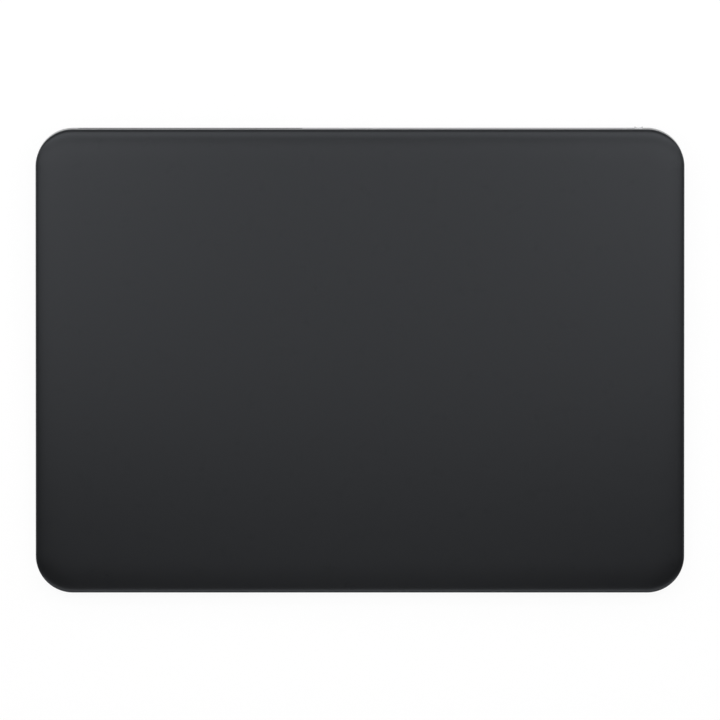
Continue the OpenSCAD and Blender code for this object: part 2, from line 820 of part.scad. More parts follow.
// Sheet on the floor with four ears that step up onto the bosses
module haptic_bracket() {
    step_x = bracket_w / 2 - bracket_t;
    color("#9a9ea3") difference() {
        union() {
            translate([-bracket_w / 2, haptic_front, floor_z]) cube([bracket_w, haptic_d, bracket_t]);
            for (sx = [0, 1], sy = [-1, 1]) mirror([sx, 0, 0])
                translate([step_x, haptic_y + sy * ear_y - boss_d / 2, floor_z]) {
                    cube([bracket_t, boss_d, ear_rise + bracket_t]);
                    translate([0, 0, ear_rise]) cube([bracket_t + ear_l, boss_d, bracket_t]);
                }
        }
        at_haptic_screws() screw_hole(bracket_t);
    }
}

// Places children at the start of every tooth, with x along it
module at_teeth() {
    for (s = [-1, 1], k = [-1, 0, 1]) mirror([s < 0 ? 1 : 0, 0, 0])
        translate([spine_w / 2, haptic_y + k * tooth_pitch, 0]) children();
}

module haptic_core() {
    spine_d = 2 * tooth_pitch + tooth_w;
    color("#5d6166") {
        translate([-spine_w / 2, haptic_y - spine_d / 2, coil_z])
            cube([spine_w, spine_d, tooth_z + tooth_h - coil_z]);
        at_teeth() translate([-spine_w / 4, -tooth_w / 2, tooth_z])
            cube([tooth_l + spine_w / 4, tooth_w, tooth_h]);
    }
}

module haptic_coils() {
    coil_l = tooth_l - 2 * coil_end;
    hole_w = tooth_w + 2 * coil_clear;
    hole_h = tooth_h + 2 * coil_clear;
    color("#b4683a") at_teeth() translate([coil_end, 0, 0]) difference() {
        translate([0, -hole_w / 2 - coil_side, coil_z]) cube([coil_l, hole_w + 2 * coil_side, coil_h]);
        translate([-over, -hole_w / 2, coil_z + coil_cap]) cube([coil_l + 2 * over, hole_w, hole_h]);
    }
}

module haptic_screws() {
    color("#6e7277") at_haptic_screws() translate([0, 0, bracket_t]) screw(bracket_t + screw_grip);
}

// The lead runs beside the battery and under the logic board
module haptic_lead() {
    run_x = battery_w / 2 + motion_clear;
    color("#b8762c") translate([0, 0, floor_z]) {
        translate([bracket_w / 2, haptic_y - haptic_lead_w / 2, 0])
            cube([run_x + haptic_lead_w - bracket_w / 2, haptic_lead_w, flex_t]);
        translate([run_x, haptic_y - haptic_lead_w / 2, 0])
            cube([haptic_lead_w, board_front + lead_w - haptic_y + haptic_lead_w / 2, flex_t]);
    }
}

module battery_cell() {
    color("#4c4f54") translate([0, (battery_front + battery_back) / 2, battery_z])
        slab(battery_w, battery_d, battery_r, battery_t, battery_edge_r, battery_edge_r);
}

module battery_adhesive() {
    strip_x = battery_w / 4;
    strip_d = battery_d - 2 * battery_r;
    color("#d8d4c4") for (s = [-1, 1])
        translate([s * strip_x - strip_w / 2, (battery_front + battery_back - strip_d) / 2, floor_z])
            cube([strip_w, strip_d, tape_t]);
}

module battery_circuit() {
    color("#1f4a33") translate([-circuit_w / 2, battery_back, circuit_z])
        cube([circuit_w, circuit_d, circuit_t]);
}

// Ribbon from the top of the protection circuit to the top of its connector on the logic board
module battery_lead() {
    top_a = circuit_z + circuit_t;
    top_b = board_top + connector_h;
    riser_y = circuit_back + circuit_gap / 2;
    color("#b8762c") translate([battery_lead_x - battery_lead_w / 2, 0, 0]) {
        translate([0, battery_back + circuit_d / 3, top_a])
            cube([battery_lead_w, riser_y - battery_back - circuit_d / 3, flex_t]);
        translate([0, riser_y - flex_t, min(top_a, top_b)])
            cube([battery_lead_w, flex_t, abs(top_a - top_b) + flex_t]);
        translate([0, riser_y - flex_t, top_b])
            cube([battery_lead_w, board_front + connector_d - riser_y + flex_t, flex_t]);
    }
}

module logic_board() {
    color("#1f4a33") difference() {
        translate([board_left, board_front, board_z])
            cube([board_right - board_left, board_d, board_t]);
        at_board_screws() screw_hole(board_t);
    }
}

// The controller stands to the right of the sensor board's lead, the power chips behind the lead, and
// the charger to the left of the socket
module logic_chips() {
    controller_x = touch_lead_x + touch_lead_w / 2 + chip_gap;
    power_pitch = power_chip_w + chip_gap;
    color("#2a2a2c") translate([0, 0, board_top]) {
        translate([controller_x, board_back - controller_w - board_gap, 0])
            cube([controller_w, controller_w, board_chip_h]);
        for (k = [-1, 0, 1])
            translate([touch_lead_x + k * power_pitch, board_back - power_chip_w, board_chip_h / 2])
                cube([power_chip_w, power_chip_w / 2, board_chip_h], center = true);
        translate([-shell_w / 2 - chip_gap - power_chip_w, board_screw_y, 0])
            cube([power_chip_w, power_chip_w, board_chip_h]);
    }
}

module logic_shield() {
    shield_y = board_back - shield_d - board_gap;
    color("#a9adb2") translate([shield_x - shield_w / 2, shield_y, board_top]) difference() {
        cube([shield_w, shield_d, shield_h]);
        translate([shield_t, shield_t, -over])
            cube([shield_w - 2 * shield_t, shield_d - 2 * shield_t, shield_h - shield_t + over]);
    }
}

module logic_connectors() {
    color("#d9d3c0") {
        translate([battery_lead_x - battery_lead_w / 2, board_front, board_top])
            cube([battery_lead_w, connector_d, connector_h]);
        translate([touch_lead_x - touch_lead_w / 2, board_front, board_top])
            cube([touch_lead_w, connector_d, connector_h]);
    }
}

module board_screws() {
    color("#6e7277") at_board_screws() translate([0, 0, board_t]) screw(board_t + screw_grip);
}

// The lead rises from its connector in one bend that ends along the sensor board
module touch_lead() {
    pad_left = touch_lead_x - touch_lead_w / 2 - flex_t;
    end_w = touch_lead_w + 2 * flex_t;
    color("#b8762c") {
        translate([pad_left, board_front, board_top + connector_h])
            cube([end_w, connector_d + flex_t, 2 * flex_t]);
        translate([touch_lead_x, touch_bend_y, touch_low_z + touch_bend_r])
            rotate([90, 0, 90]) rotate([0, 0, -90]) rotate_extrude(angle = 180 + tilt)
                translate([touch_bend_r - flex_t, -touch_lead_w / 2]) square([flex_t, touch_lead_w]);
        on_slope() translate([pad_left, touch_top_y - touch_lead_l, -sensor_depth - 2 * flex_t])
            cube([end_w, touch_lead_l + flex_t, 2 * flex_t]);
    }
}

module antenna_carrier() {
    color("#3c3d40") intersection() {
        on_slope() translate([window_x - antenna_w / 2, antenna_y - antenna_d,
                              slope_z(floor_z, antenna_y) - over])
            cube([antenna_w, antenna_d - foil_t, antenna_h + over]);
        above(floor_z);
    }
}

module antenna_foil() {
    color("#c98a3a") on_slope()
        translate([window_x - antenna_w / 2, antenna_y - foil_t, window_sz - window_h / 2])
            cube([antenna_w, foil_t, window_h]);
}

// The lead runs from the carrier's end onto the logic board
module antenna_lead() {
    carrier_end = window_x + antenna_w / 2;
    lead_y = board_back - antenna_d / 2;
    color("#222224") translate([carrier_end, lead_y, board_top + antenna_lead_d / 2]) rotate([0, 90, 0])
        cylinder(d = antenna_lead_d, h = board_left + antenna_inset - carrier_end);
}

// Places children at the socket's rear, with y toward the mouth
module at_socket() {
    mouth_y = back_y(port_z + shell_h / 2, 0) - socket_recess;
    translate([0, mouth_y - shell_l, port_z]) children();
}

module socket_shell() {
    color("#b4b7bb") at_socket() {
        upright() linear_extrude(shell_l) difference() {
            stadium(shell_w, shell_h);
            stadium(mouth_w, mouth_h);
        }
        upright() linear_extrude(shell_t) stadium(shell_w, shell_h);
    }
}

module socket_tongue() {
    color("#29292b") at_socket() translate([-tongue_w / 2, shell_t, -tongue_t / 2])
        cube([tongue_w, tongue_l, tongue_t]);
}

module socket_contacts() {
    first_x = -(contact_count - 1) / 2 * contact_pitch - contact_w / 2;
    contact_l = tongue_l - 2 * contact_inset;
    color("#d1a94e") at_socket() for (k = [0:contact_count - 1], s = [0, 1]) mirror([0, 0, s])
        translate([first_x + k * contact_pitch, shell_t + contact_inset, tongue_t / 2])
            cube([contact_w, contact_l, contact_t]);
}

// Knob and carriage in one piece: the carriage slides behind the wall and two prongs hold the lever
module switch_knob() {
    knob_l = glass_d / 2 + knob_proud - carriage_y;
    prong_w = lever_w / 2;
    prong_x = lever_w / 2 + slide_clear + prong_w / 2;
    color("#a7aaae") on_slope() difference() {
        union() {
            translate([knob_x, carriage_y, switch_z]) upright() linear_extrude(knob_l)
                stadium(knob_w, knob_h);
            translate([carriage_left, carriage_y, switch_z - carriage_h / 2])
                cube([carriage_right - carriage_left, carriage_t, carriage_h]);
            for (s = [-1, 1]) translate([knob_x + s * prong_x - prong_w / 2,
                                         carriage_y - prong_l + slide_clear, switch_z - knob_h / 2])
                cube([prong_w, prong_l, knob_h]);
        }
        translate([knob_x, glass_d / 2 + knob_proud + dish_r - dish_depth, switch_z])
            cylinder(r = dish_r, h = 2 * knob_h, center = true);
    }
}

module switch_indicator() {
    film_w = switch_travel;
    color("#3f9d57") on_slope()
        translate([knob_x + knob_w / 2 + slot_clear, carriage_y + carriage_t, switch_z - slot_h / 2])
            cube([film_w, indicator_t, slot_h]);
}

module switch_lever() {
    color("#29292b") on_slope()
        translate([knob_x - lever_w / 2, switch_front - switch_t - slide_clear, switch_z - knob_h / 2])
            cube([lever_w, lever_l + switch_t, knob_h]);
}

module switch_body() {
    gate_w = lever_w + switch_travel + 2 * slide_clear;
    color("#b4b7bb") on_slope() difference() {
        translate([switch_board_x - switch_w / 2, switch_front - switch_d, switch_z - switch_h / 2])
            cube([switch_w, switch_d, switch_h]);
        translate([switch_board_x - gate_w / 2, switch_front - 2 * switch_t,
                   switch_z - knob_h / 2 - slide_clear])
            cube([gate_w, 2 * switch_t + over, knob_h + 2 * slide_clear]);
    }
}

module switch_board() {
    color("#1f4a33") difference() {
        on_slope() translate([switch_board_left, switch_front - switch_board_d, switch_board_z])
            cube([switch_board_w, switch_board_d, switch_board_t]);
        at_switch_screws() screw_hole(switch_board_t);
    }
}

module switch_screws() {
    color("#6e7277") at_switch_screws() translate([0, 0, switch_board_t])
        screw(switch_board_t + screw_grip);
}

// Ribbon from the logic board's right end to the switch board's left end
module switch_lead() {
    lead_sy = switch_front - (switch_d + switch_lead_w) / 2;
    lead_sz = switch_board_z + switch_board_t;
    lead_y = mid_y + lead_sy * cos(tilt) - lead_sz * sin(tilt);
    lead_z = mid_z + (lead_sy + switch_lead_w) * sin(tilt) + lead_sz * cos(tilt) + flex_t;
    riser_x = (board_right + switch_board_left) / 2;
    lap = switch_lead_w;
    color("#b8762c") {
        translate([board_right - lap, lead_y, board_top])
            cube([riser_x + lap - board_right, switch_lead_w, flex_t]);
        translate([riser_x - flex_t, lead_y, min(board_top, lead_z - flex_t)])
            cube([flex_t, switch_lead_w, abs(lead_z - flex_t - board_top) + flex_t]);
        on_slope() translate([riser_x - flex_t, lead_sy, lead_sz])
            cube([switch_board_left + lap - riser_x, switch_lead_w, flex_t]);
    }
}

housing();
antenna_window();
base_plate();
base_adhesive();
feet();
cover_glass();
bonding_film();
sensor_board();
touch_chips();
stiffener();
armature_left();
armature_right();
gel_pads();
flexure_front_left();
flexure_front_right();
flexure_back_left();
flexure_back_right();
strain_gauges();
gauge_leads();
flexure_screws();
haptic_bracket();
haptic_core();
haptic_coils();
haptic_screws();
haptic_lead();
battery_cell();
battery_adhesive();
battery_circuit();
battery_lead();
logic_board();
logic_chips();
logic_shield();
logic_connectors();
board_screws();
touch_lead();
antenna_carrier();
antenna_foil();
antenna_lead();
socket_shell();
socket_tongue();
socket_contacts();
switch_knob();
switch_indicator();
switch_lever();
switch_body();
switch_board();
switch_screws();
switch_lead();
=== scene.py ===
"""Looks of a flat desktop trackpad: satin glass on an aluminium wedge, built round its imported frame."""

import json
import logging
import math
from dataclasses import dataclass
from enum import Enum
from typing import Callable

import bmesh
import bpy
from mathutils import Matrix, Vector


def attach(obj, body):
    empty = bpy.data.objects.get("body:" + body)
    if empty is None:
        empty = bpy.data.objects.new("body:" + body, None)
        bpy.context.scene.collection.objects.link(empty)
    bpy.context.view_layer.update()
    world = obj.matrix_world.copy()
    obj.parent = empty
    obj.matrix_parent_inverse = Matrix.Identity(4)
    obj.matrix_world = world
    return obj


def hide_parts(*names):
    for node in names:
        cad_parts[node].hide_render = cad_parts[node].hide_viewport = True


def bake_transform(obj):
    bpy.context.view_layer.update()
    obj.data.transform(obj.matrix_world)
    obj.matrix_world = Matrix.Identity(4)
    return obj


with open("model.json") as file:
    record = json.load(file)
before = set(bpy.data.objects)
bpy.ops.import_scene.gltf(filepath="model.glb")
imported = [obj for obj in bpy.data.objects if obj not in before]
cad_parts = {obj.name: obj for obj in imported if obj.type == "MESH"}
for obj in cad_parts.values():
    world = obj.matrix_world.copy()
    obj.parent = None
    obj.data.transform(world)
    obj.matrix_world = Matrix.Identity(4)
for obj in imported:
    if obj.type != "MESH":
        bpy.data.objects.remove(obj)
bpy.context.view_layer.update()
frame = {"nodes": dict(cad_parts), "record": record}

LOG = logging.getLogger("trackpad")
MM = 0.001
MERGE_REACH = 0.0005 * MM
FLAT_LIMIT = math.radians(0.3)
SHARP_LIMIT = math.radians(35)
WHITE = (1.0, 1.0, 1.0, 1.0)

Colour = tuple[float, float, float]
Span = tuple[float, float, float]
EdgeTest = Callable[[bmesh.types.BMEdge], bool]


class SocketKind(Enum):
    """Kinds of socket that the shared node groups use."""

    VALUE = "NodeSocketFloat"
    COLOUR = "NodeSocketColor"
    PLACE = "NodeSocketVector"


class Body(Enum):
    """Bodies of the frame that pieces ride on."""

    CASE = "case"
    SUSPENSION = "suspension"
    TOUCH_PLATE = "touch_plate"
    SWITCH_SLIDER = "switch_slider"


class Streak(Enum):
    """How a grain is drawn out: evenly, along x or along y."""

    EVEN = (1.0, 1.0, 1.0)
    ALONG_X = (0.03, 1.0, 1.0)
    ALONG_Y = (1.0, 0.03, 1.0)


class Sheet:
    """A node tree with short ways to add and join its nodes."""

    def __init__(self, tree: bpy.types.NodeTree) -> None:
        """Empties the tree, which the sheet then fills."""
        self.tree = tree
        tree.nodes.clear()

    def feed(self, node: bpy.types.Node, name: str | int, value: object) -> None:
        """Gives a node's input a value, or joins it to the socket that feeds it.

        Args:
            node: the node to feed.
            name: the input's label or number.
            value: a plain value or another node's output socket.
        """
        if isinstance(value, bpy.types.NodeSocket):
            self.tree.links.new(value, node.inputs[name])
        else:
            node.inputs[name].default_value = value

    def add(self, kind: str, inputs: dict | None = None, **settings: object) -> bpy.types.Node:
        """Adds a node.

        Args:
            kind: the node's type, without the words that all shader nodes start with.
            inputs: values or feeding sockets by the input's label or number.
            settings: the node's own properties.

        Returns:
            The new node.
        """
        node = self.tree.nodes.new("ShaderNode" + kind)
        for name, value in settings.items():
            setattr(node, name, value)
        for name, value in (inputs or {}).items():
            self.feed(node, name, value)
        return node

    def math(self, operation: str, *values: object) -> bpy.types.NodeSocket:
        """Adds a Math node.

        Args:
            operation: what it does.
            values: its inputs in order.

        Returns:
            Its output socket.
        """
        return self.add("Math", dict(enumerate(values)), operation=operation).outputs[0]

    def blend(self, share: object, low: object, high: object) -> bpy.types.NodeSocket:
        """Adds a colour mix.

        Args:
            share: how much of the second colour shows.
            low: the first colour.
            high: the second colour.

        Returns:
            The mixed colour's socket.
        """
        mix = self.add("Mix", {"Factor": share}, data_type="RGBA")
        self.feed(mix, 6, low)
        self.feed(mix, 7, high)
        return mix.outputs[2]

    def use(self, group: bpy.types.NodeTree, inputs: dict) -> bpy.types.Node:
        """Places a node group.

        Args:
            group: the group's tree.
            inputs: values or feeding sockets by the group's labels.

        Returns:
            The group's node.
        """
        node = self.add("Group", node_tree=group)
        for name, value in inputs.items():
            self.feed(node, name, value)
        return node


def rgba(colour: Colour) -> tuple[float, float, float, float]:
    """The colour with full cover."""
    return (*colour, 1.0)


class DetailGroup:
    """A node group that more than one finish uses, built once."""

    name: str = ""
    inputs: dict[str, SocketKind] = {}
    outputs: dict[str, SocketKind] = {}

    def tree(self) -> bpy.types.NodeTree:
        """The group's tree, which is built at its first use."""
        found = bpy.data.node_groups.get(self.name)
        return found if found else self.build()

    def build(self) -> bpy.types.NodeTree:
        """Makes the group's sockets and fills it.

        Returns:
            The new tree.
        """
        tree = bpy.data.node_groups.new(self.name, "ShaderNodeTree")
        sheet = Sheet(tree)
        for label, kind in self.inputs.items():
            tree.interface.new_socket(label, in_out="INPUT", socket_type=kind.value)
        for label, kind in self.outputs.items():
            tree.interface.new_socket(label, in_out="OUTPUT", socket_type=kind.value)
        given = tree.nodes.new("NodeGroupInput").outputs
        made = tree.nodes.new("NodeGroupOutput")
        for label, socket in self.fill(sheet, given).items():
            sheet.feed(made, label, socket)
        return tree

    def fill(self, sheet: Sheet, given: bpy.types.NodeOutputs) -> dict:
        """Lays the group's nodes.

        Args:
            sheet: the group's sheet.
            given: the sockets of the group's inputs.

        Returns:
            The sockets that feed the group's outputs.
        """
        raise NotImplementedError


class GrainGroup(DetailGroup):
    """Fine grain under slow clouds."""

    name = "surface_grain"
    inputs = {
        "Place": SocketKind.PLACE,
        "Color": SocketKind.COLOUR,
        "Density": SocketKind.VALUE,
        "Tone": SocketKind.VALUE,
        "Roughness": SocketKind.VALUE,
        "Play": SocketKind.VALUE,
    }
    outputs = {
        "Color": SocketKind.COLOUR,
        "Roughness": SocketKind.VALUE,
        "Height": SocketKind.VALUE,
    }
    fine_detail: float = 2.0
    cloud_detail: float = 3.0
    cloud_share: float = 0.01

    def fill(self, sheet: Sheet, given: bpy.types.NodeOutputs) -> dict:
        """Adds the two noises and lets them sway colour and roughness.

        Args:
            sheet: the group's sheet.
            given: the sockets of the group's inputs.

        Returns:
            The sockets of colour, roughness and height.
        """
        fine = sheet.add("TexNoise", {
            "Vector": given["Place"], "Scale": given["Density"], "Detail": self.fine_detail}).outputs[0]
        cloud = sheet.add("TexNoise", {
            "Vector": given["Place"], "Detail": self.cloud_detail,
            "Scale": sheet.math("MULTIPLY", given["Density"], self.cloud_share)}).outputs[0]
        sway = sheet.math("SUBTRACT", sheet.math("ADD", fine, cloud), 1.0)
        tone = sheet.math("MULTIPLY_ADD", sway, given["Tone"], 1.0)
        colour = sheet.add("VectorMath", {0: given["Color"]}, operation="SCALE")
        sheet.feed(colour, "Scale", tone)
        rough = sheet.math("MULTIPLY_ADD", sway, given["Play"], given["Roughness"])
        return {"Color": colour.outputs[0], "Roughness": rough, "Height": fine}


class LineGroup(DetailGroup):
    """Parallel lines that follow each other along x, such as turns of wire or copper traces."""

    name = "surface_lines"
    inputs = {
        "Place": SocketKind.PLACE,
        "Ground": SocketKind.COLOUR,
        "Line": SocketKind.COLOUR,
        "Count": SocketKind.VALUE,
        "Share": SocketKind.VALUE,
    }
    outputs = {"Color": SocketKind.COLOUR, "Mask": SocketKind.VALUE}
    wave_turn: float = math.pi / 10.0
    softness: float = 0.18

    def fill(self, sheet: Sheet, given: bpy.types.NodeOutputs) -> dict:
        """Adds the wave and cuts it to the lines' share.

        Args:
            sheet: the group's sheet.
            given: the sockets of the group's inputs.

        Returns:
            The sockets of colour and mask.
        """
        wave = sheet.add("TexWave", {
            "Vector": given["Place"], "Detail": 0.0,
            "Scale": sheet.math("MULTIPLY", given["Count"], self.wave_turn)})
        low = sheet.math("SUBTRACT", 1.0, given["Share"])
        mask = sheet.add("MapRange", {
            "Value": wave.outputs["Fac"], "From Min": sheet.math("SUBTRACT", low, self.softness),
            "From Max": sheet.math("ADD", low, self.softness)}, interpolation_type="SMOOTHSTEP").outputs[0]
        return {"Color": sheet.blend(mask, given["Ground"], given["Line"]), "Mask": mask}


class TraceGroup(DetailGroup):
    """A board's copper under its lacquer: traces that turn from block to block, and bare vias."""

    name = "surface_traces"
    inputs = {
        "Place": SocketKind.PLACE,
        "Ground": SocketKind.COLOUR,
        "Line": SocketKind.COLOUR,
        "Via": SocketKind.COLOUR,
        "Count": SocketKind.VALUE,
    }
    outputs = {
        "Color": SocketKind.COLOUR,
        "Mask": SocketKind.VALUE,
        "Bare": SocketKind.VALUE,
    }
    block_share: float = 0.12
    turned_share: float = 0.5
    trace_low: float = 0.5
    trace_high: float = 0.75
    via_share: float = 0.35
    via_size: float = 0.16
    via_scatter: float = 0.8

    def fill(self, sheet: Sheet, given: bpy.types.NodeOutputs) -> dict:
        """Adds the blocks, the traces of both directions and the vias.

        Args:
            sheet: the group's sheet.
            given: the sockets of the group's inputs.

        Returns:
            The sockets of colour, mask and bare metal.
        """
        block = sheet.add("TexVoronoi", {
            "Vector": given["Place"],
            "Scale": sheet.math("MULTIPLY", given["Count"], self.block_share)}, distance="CHEBYCHEV")
        pick = sheet.add("SeparateColor", {0: block.outputs["Color"]}).outputs[0]
        turn = sheet.math("GREATER_THAN", pick, self.turned_share)
        scale = sheet.math("MULTIPLY", given["Count"], LineGroup.wave_turn)
        waves = [
            sheet.add("TexWave", {"Vector": given["Place"], "Detail": 0.0, "Scale": scale},
                      bands_direction=way).outputs["Fac"] for way in ("X", "Y")]
        wave = sheet.add("Mix", {"Factor": turn, 2: waves[0], 3: waves[1]}).outputs[0]
        mask = sheet.add("MapRange", {
            "Value": wave, "From Min": self.trace_low, "From Max": self.trace_high},
            interpolation_type="SMOOTHSTEP").outputs[0]
        dots = sheet.add("TexVoronoi", {
            "Vector": given["Place"], "Randomness": self.via_scatter,
            "Scale": sheet.math("MULTIPLY", given["Count"], self.via_share)})
        bare = sheet.math("LESS_THAN", dots.outputs["Distance"], self.via_size)
        lines = sheet.blend(mask, given["Ground"], given["Line"])
        return {"Color": sheet.blend(bare, lines, given["Via"]), "Mask": mask, "Bare": bare}


@dataclass(frozen=True)
class Finish:
    """A finish of one colour with its grain, whose gloss takes the colour of sheen.

    The grain is pitch long, sways the colour by tone and the roughness by play, and stands relief high.
    """

    name: str
    colour: Colour
    roughness: float
    metallic: float = 0.0
    specular: float = 0.5
    pitch: float = 0.2 * MM
    tone: float = 0.1
    play: float = 0.06
    relief: float = 0.002 * MM
    streak: Streak = Streak.EVEN
    sheen: Colour = (1.0, 1.0, 1.0)

    def material(self) -> bpy.types.Material:
        """Builds the finish's material at its first use.

        Returns:
            The material.
        """
        label = self.name + "_finish"
        made = bpy.data.materials.get(label)
        if made:
            return made
        made = bpy.data.materials.new(label)
        made.use_nodes = True
        sheet = Sheet(made.node_tree)
        place = sheet.add("TexCoord").outputs["Object"]
        shader = sheet.add("BsdfPrincipled", {
            "Metallic": self.metallic, "Specular IOR Level": self.specular,
            "Specular Tint": rgba(self.sheen)})
        self.detail(sheet, place, shader)
        sheet.add("OutputMaterial", {"Surface": shader.outputs[0]})
        return made

    def grain(self, sheet: Sheet, place: bpy.types.NodeSocket, colour: object) -> bpy.types.Node:
        """Places the grain.

        Args:
            sheet: the material's sheet.
            place: the socket of the object's coordinates.
            colour: the colour or the socket that the grain sways.

        Returns:
            The grain's group node.
        """
        drawn = sheet.add("Mapping", {"Vector": place, "Scale": self.streak.value}).outputs[0]
        return sheet.use(GrainGroup().tree(), {
            "Place": drawn, "Color": colour, "Density": 1.0 / self.pitch, "Tone": self.tone,
            "Roughness": self.roughness, "Play": self.play})

    def raise_relief(self, sheet: Sheet, shader: bpy.types.Node, height: bpy.types.NodeSocket) -> None:
        """Feeds a height to the shader's normal through a bump."""
        bump = sheet.add("Bump", {"Height": height, "Distance": self.relief, "Strength": 1.0})
        sheet.feed(shader, "Normal", bump.outputs[0])

    def detail(self, sheet: Sheet, place: bpy.types.NodeSocket, shader: bpy.types.Node) -> None:
        """Feeds the grain to the shader.

        Args:
            sheet: the material's sheet.
            place: the socket of the object's coordinates.
            shader: the material's shader.
        """
        grain = self.grain(sheet, place, rgba(self.colour))
        sheet.feed(shader, "Base Color", grain.outputs["Color"])
        sheet.feed(shader, "Roughness", grain.outputs["Roughness"])
        self.raise_relief(sheet, shader, grain.outputs["Height"])


@dataclass(frozen=True)
class LinedFinish(Finish):
    """A finish with parallel lines of a second colour.

    There are count lines to the metre, which take share of the width and are turned by turn.
    """

    line: Colour = (0.5, 0.5, 0.5)
    count: float = 1000.0
    share: float = 0.5
    turn: float = 0.0

    def detail(self, sheet: Sheet, place: bpy.types.NodeSocket, shader: bpy.types.Node) -> None:
        """Feeds the lines and the grain on them to the shader.

        Args:
            sheet: the material's sheet.
            place: the socket of the object's coordinates.
            shader: the material's shader.
        """
        turned = sheet.add("Mapping", {"Vector": place, "Rotation": (0.0, 0.0, self.turn)}).outputs[0]
        lines = sheet.use(LineGroup().tree(), {
            "Place": turned, "Ground": rgba(self.colour), "Line": rgba(self.line),
            "Count": self.count, "Share": self.share})
        grain = self.grain(sheet, place, lines.outputs["Color"])
        sheet.feed(shader, "Base Color", grain.outputs["Color"])
        sheet.feed(shader, "Roughness", grain.outputs["Roughness"])
        self.raise_relief(sheet, shader, lines.outputs["Mask"])


@dataclass(frozen=True)
class BoardFinish(Finish):
    """A lacquered circuit board with traces, count of them to the metre, and bare vias."""

    line: Colour = (0.03, 0.16, 0.07)
    via: Colour = (0.62, 0.44, 0.16)
    count: float = 1400.0

    def detail(self, sheet: Sheet, place: bpy.types.NodeSocket, shader: bpy.types.Node) -> None:
        """Feeds the traces, the vias and the grain on them to the shader.

        Args:
            sheet: the material's sheet.
            place: the socket of the object's coordinates.
            shader: the material's shader.
        """
        traces = sheet.use(TraceGroup().tree(), {
            "Place": place, "Ground": rgba(self.colour), "Line": rgba(self.line),
            "Via": rgba(self.via), "Count": self.count})
        grain = self.grain(sheet, place, traces.outputs["Color"])
        sheet.feed(shader, "Base Color", grain.outputs["Color"])
        sheet.feed(shader, "Roughness", grain.outputs["Roughness"])
        sheet.feed(shader, "Metallic", traces.outputs["Bare"])
        self.raise_relief(sheet, shader, traces.outputs["Mask"])


SATIN_GLASS = Finish("satin_glass", (0.0065, 0.0067, 0.0072), 0.28, specular=0.42, pitch=0.05 * MM,
                     tone=0.12, play=0.02, relief=0.0003 * MM, sheen=(0.9, 0.945, 1.02))
BLASTED_ALUMINIUM = Finish("blasted_aluminium", (0.56, 0.568, 0.58), 0.42, metallic=1.0, pitch=0.1 * MM,
                           tone=0.12, play=0.1, relief=0.006 * MM, sheen=(0.45, 0.45, 0.45))
WINDOW_PLASTIC = Finish("window_plastic", (0.03, 0.031, 0.033), 0.7, specular=0.05, pitch=0.12 * MM,
                        tone=0.5, relief=0.008 * MM)
BASE_PLASTIC = Finish("base_plastic", (0.27, 0.275, 0.285), 0.55, specular=0.4, pitch=0.3 * MM,
                      tone=0.22, relief=0.03 * MM)
FOOT_RUBBER = Finish("foot_rubber", (0.05, 0.051, 0.053), 0.8, specular=0.3, pitch=0.22 * MM, tone=0.25,
                     relief=0.006 * MM)
KNOB_METAL = Finish("knob_satin", (0.5, 0.505, 0.515), 0.36, metallic=1.0, pitch=0.07 * MM,
                    relief=0.0015 * MM)
INDICATOR_FILM = Finish("indicator_film", (0.06, 0.4, 0.11), 0.4, pitch=0.1 * MM, relief=0.001 * MM)
CLEAR_ADHESIVE = Finish("clear_adhesive", (0.7, 0.67, 0.58), 0.5, specular=0.4, pitch=0.8 * MM,
                        relief=0.004 * MM)
CIRCUIT_BOARD = BoardFinish("circuit_board", (0.012, 0.085, 0.036), 0.38, pitch=0.3 * MM,
                            relief=0.015 * MM)
CHIP_PLASTIC = Finish("chip_plastic", (0.021, 0.021, 0.023), 0.55, pitch=0.1 * MM, relief=0.003 * MM)
SHEET_STEEL = Finish("sheet_steel", (0.52, 0.53, 0.54), 0.34, metallic=1.0, pitch=0.09 * MM, tone=0.2,
                     play=0.14, streak=Streak.ALONG_X)
# The socket's steel is far darker than the sheet steel elsewhere, with a dimmer gloss at grazing: painted
# shade of the socket's recess.
RECESS_SHADED_STEEL = Finish("socket_steel", (0.12, 0.122, 0.126), 0.45, metallic=1.0, pitch=0.09 * MM, tone=0.15,
                      sheen=(0.4, 0.4, 0.4))
SPRING_STEEL = Finish("spring_steel", (0.43, 0.44, 0.46), 0.28, metallic=1.0, pitch=0.06 * MM, tone=0.2,
                      play=0.12, streak=Streak.ALONG_X)
SCREW_STEEL = Finish("screw_steel", (0.3, 0.31, 0.32), 0.36, metallic=1.0, pitch=0.12 * MM, tone=0.2)
CORE_IRON = LinedFinish("core_iron", (0.2, 0.205, 0.21), 0.5, metallic=1.0, pitch=0.15 * MM, tone=0.2,
                        relief=0.02 * MM, line=(0.26, 0.265, 0.27), count=2800.0, turn=math.radians(90))
COPPER_WINDING = LinedFinish("copper_winding", (0.2, 0.07, 0.025), 0.34, metallic=1.0, pitch=0.1 * MM,
                             relief=0.06 * MM, line=(0.72, 0.3, 0.13), count=5500.0, share=0.6)
COPPER_FOIL = Finish("copper_foil", (0.68, 0.33, 0.16), 0.32, metallic=1.0, pitch=0.1 * MM, tone=0.15,
                     streak=Streak.ALONG_X)
GOLD_CONTACT = Finish("gold_contact", (0.72, 0.5, 0.2), 0.26, metallic=1.0, pitch=0.06 * MM, tone=0.12,
                      streak=Streak.ALONG_Y)
SOFT_GEL = Finish("soft_gel", (0.55, 0.6, 0.64), 0.22, pitch=0.6 * MM, relief=0.01 * MM)
FLEX_ACROSS = LinedFinish("flex_across", (0.28, 0.12, 0.028), 0.36, pitch=0.3 * MM, relief=0.012 * MM,
                          line=(0.5, 0.25, 0.07), count=2200.0)
FLEX_ALONG = LinedFinish("flex_along", (0.28, 0.12, 0.028), 0.36, pitch=0.3 * MM, relief=0.012 * MM,
                         line=(0.5, 0.25, 0.07), count=2200.0, turn=math.radians(90))
